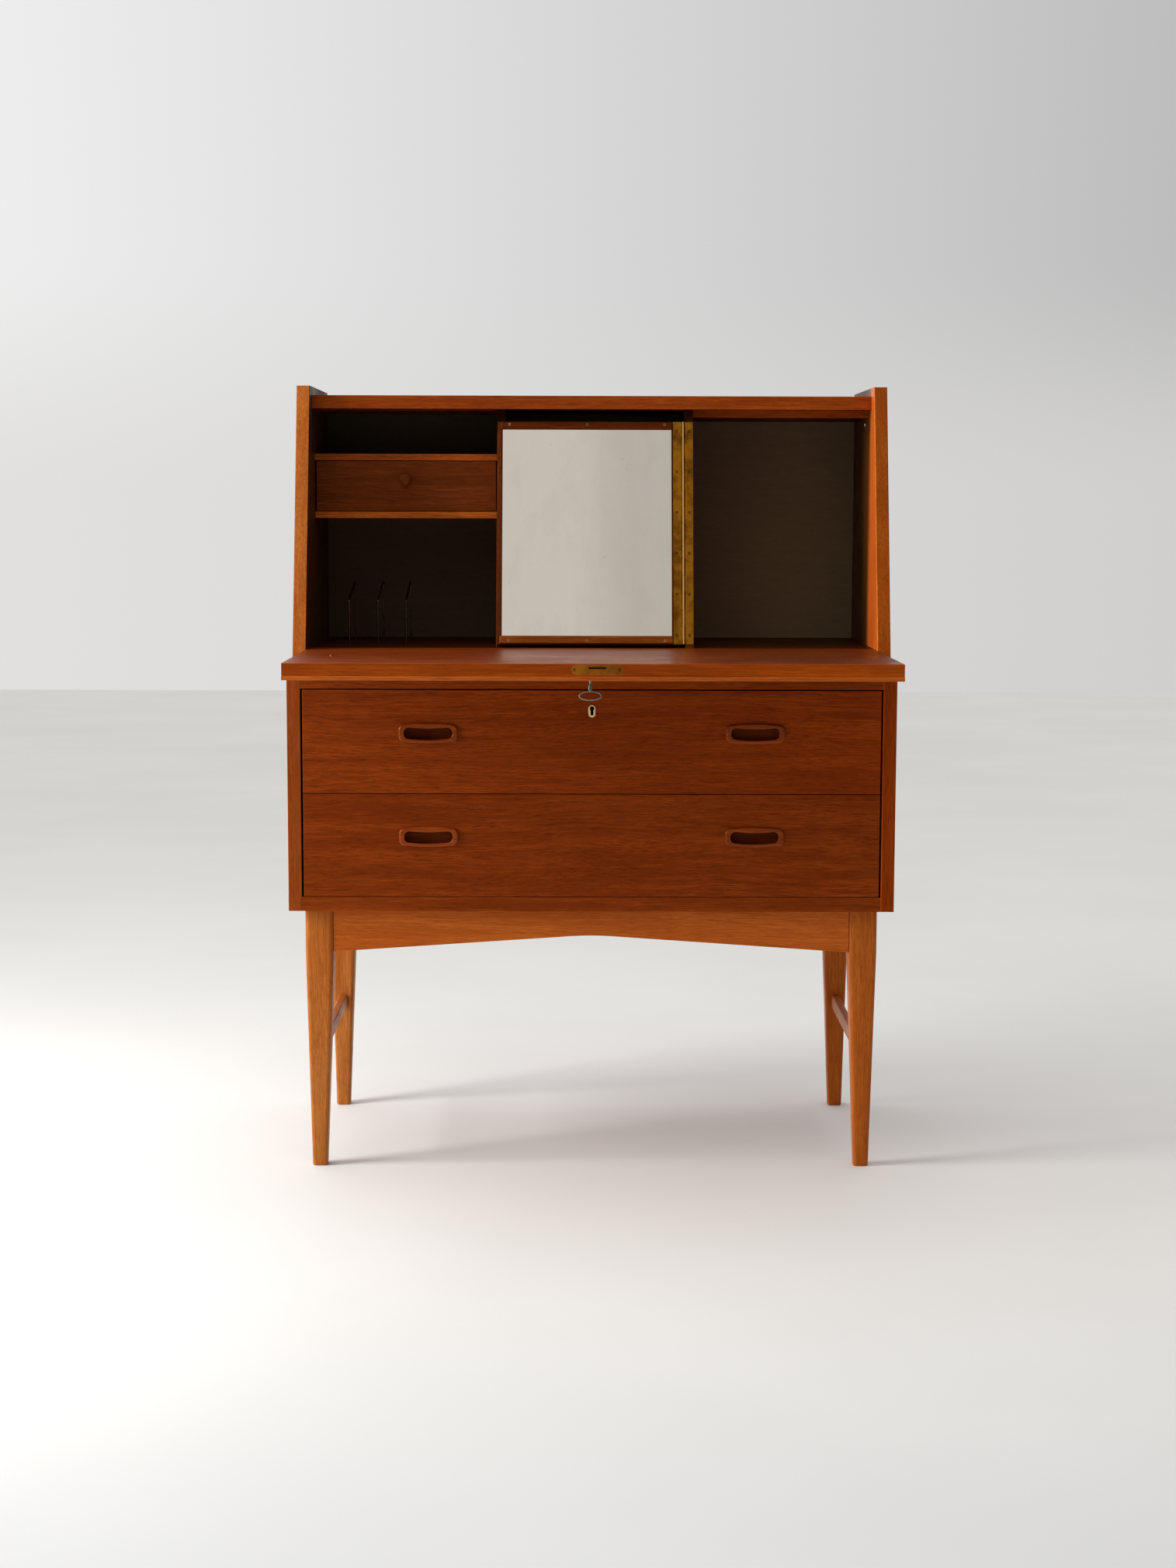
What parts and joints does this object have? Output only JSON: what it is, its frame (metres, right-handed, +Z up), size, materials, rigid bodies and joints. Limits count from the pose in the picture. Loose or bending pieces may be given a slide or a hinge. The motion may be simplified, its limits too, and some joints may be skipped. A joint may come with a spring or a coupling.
{
  "type": "secretary desk",
  "caption": "Teak secretary desk with a lowered writing flap, drawers below, mirror door and compartments above, on a tapered oak base.",
  "frame": {"origin": "on the floor, under the middle of the desk as it stands with its writing flap lowered", "axes": "+X to the user's right, +Y to the back of the desk, +Z up; the drawers and flap face -Y"},
  "size_m": [0.85, 0.6546, 1.1108],
  "materials": {
    "teak_case": "oiled teak, horizontal or upright grain",
    "teak_side": "oiled teak, upright grain",
    "teak_inner": "dark oiled teak inside the desk",
    "back_board": "dark stained plywood",
    "oak_base": "oiled oak",
    "drawer_wood": "plain pale beech and plywood",
    "brass": "aged brass",
    "nickel": "worn nickel plate",
    "steel": "plain steel",
    "wire": "dark lacquered wire",
    "mirror": "silvered glass"
  },
  "bodies": {
    "case": {"leg_front_left": "oak_base", "leg_front_right": "oak_base", "leg_back_left": "oak_base", "leg_back_right": "oak_base", "apron_front": "oak_base", "apron_back": "oak_base", "base_side_rails": "oak_base", "stretcher_left": "oak_base", "stretcher_right": "oak_base", "side_panel_left": "teak_side", "side_panel_right": "teak_side", "bottom_board": "teak_case", "case_board": "teak_case", "front_rail": "teak_case", "desk_floor": "teak_inner", "top_panel": "teak_case", "back_panel": "back_board", "partition_left": "teak_inner", "partition_right": "teak_inner", "shelf_upper": "teak_inner", "shelf_lower": "teak_inner", "compartment_board": "teak_inner", "letter_dividers": "wire", "side_hook": "nickel", "drawer_runners": "drawer_wood", "case_pivot_plates": "brass", "mirror_hinge_case_leaf": "brass", "mirror_hinge_case_screws": "brass", "strike_plates": "brass"},
    "flap": {"flap_panel": "teak_case", "flap_lipping": "teak_case", "flap_lock_plate": "brass", "flap_lock_case": "steel", "flap_lock_screws": "brass", "flap_stud": "brass", "flap_pivot_plates": "brass", "flap_escutcheon": "brass"},
    "flap_bolt": {"flap_lock_bolt": "brass"},
    "key": {"flap_key": "nickel"},
    "mirror_door": {"mirror_door_panel": "teak_inner", "mirror_glass": "mirror", "mirror_rails": "teak_inner", "mirror_rail_screws": "brass", "mirror_hinge_door_leaf": "brass", "mirror_hinge_door_screws": "brass"},
    "upper_drawer": {"upper_drawer_front": "teak_case", "upper_drawer_box": "drawer_wood", "upper_drawer_bottom": "drawer_wood", "upper_drawer_pulls": "teak_case", "upper_drawer_escutcheon": "brass", "upper_drawer_lock_case": "steel"},
    "drawer_bolt": {"drawer_lock_bolt": "brass"},
    "lower_drawer": {"lower_drawer_front": "teak_case", "lower_drawer_box": "drawer_wood", "lower_drawer_bottom": "drawer_wood", "lower_drawer_pulls": "teak_case"},
    "small_drawer": {"small_drawer_front": "teak_inner", "small_drawer_box": "drawer_wood", "small_drawer_bottom": "drawer_wood", "small_drawer_knob": "teak_inner"}
  },
  "joints": [
    {"name": "flap_hinge", "type": "hinge", "parent": "case", "child": "flap", "pos_m": [0, 0.02638, 0.733], "axis": [-1, 0, 0], "range_deg": [0, 103.2]},
    {"name": "flap_key_turn", "type": "hinge", "parent": "flap", "child": "key", "pos_m": [-0.0037, -0.30975, 0.7], "axis": [0, 0, 1], "range_deg": [0, 180]},
    {"name": "flap_bolt_slide", "type": "slide", "parent": "flap", "child": "flap_bolt", "axis": [0, -1, 0], "range_m": [0, 0.0101]},
    {"name": "mirror_door_hinge", "type": "hinge", "parent": "case", "child": "mirror_door", "pos_m": [0.133, 0.03884, 0.73664], "axis": [0, -0.2284, -0.9736], "range_deg": [-135, 0]},
    {"name": "upper_drawer_slide", "type": "slide", "parent": "case", "child": "upper_drawer", "axis": [0, -1, 0], "range_m": [0, 0.3]},
    {"name": "lower_drawer_slide", "type": "slide", "parent": "case", "child": "lower_drawer", "axis": [0, -1, 0], "range_m": [0, 0.3]},
    {"name": "drawer_bolt_slide", "type": "slide", "parent": "upper_drawer", "child": "drawer_bolt", "axis": [0, 0, 1], "range_m": [0, 0.008]},
    {"name": "small_drawer_slide", "type": "slide", "parent": "case", "child": "small_drawer", "axis": [0, 1, 0], "range_m": [-0.12, 0]}
  ],
  "couplings": [
    {"joint": "flap_bolt_slide", "follows": "flap_key_turn", "m_per_rad": 0.0031831}
  ]
}
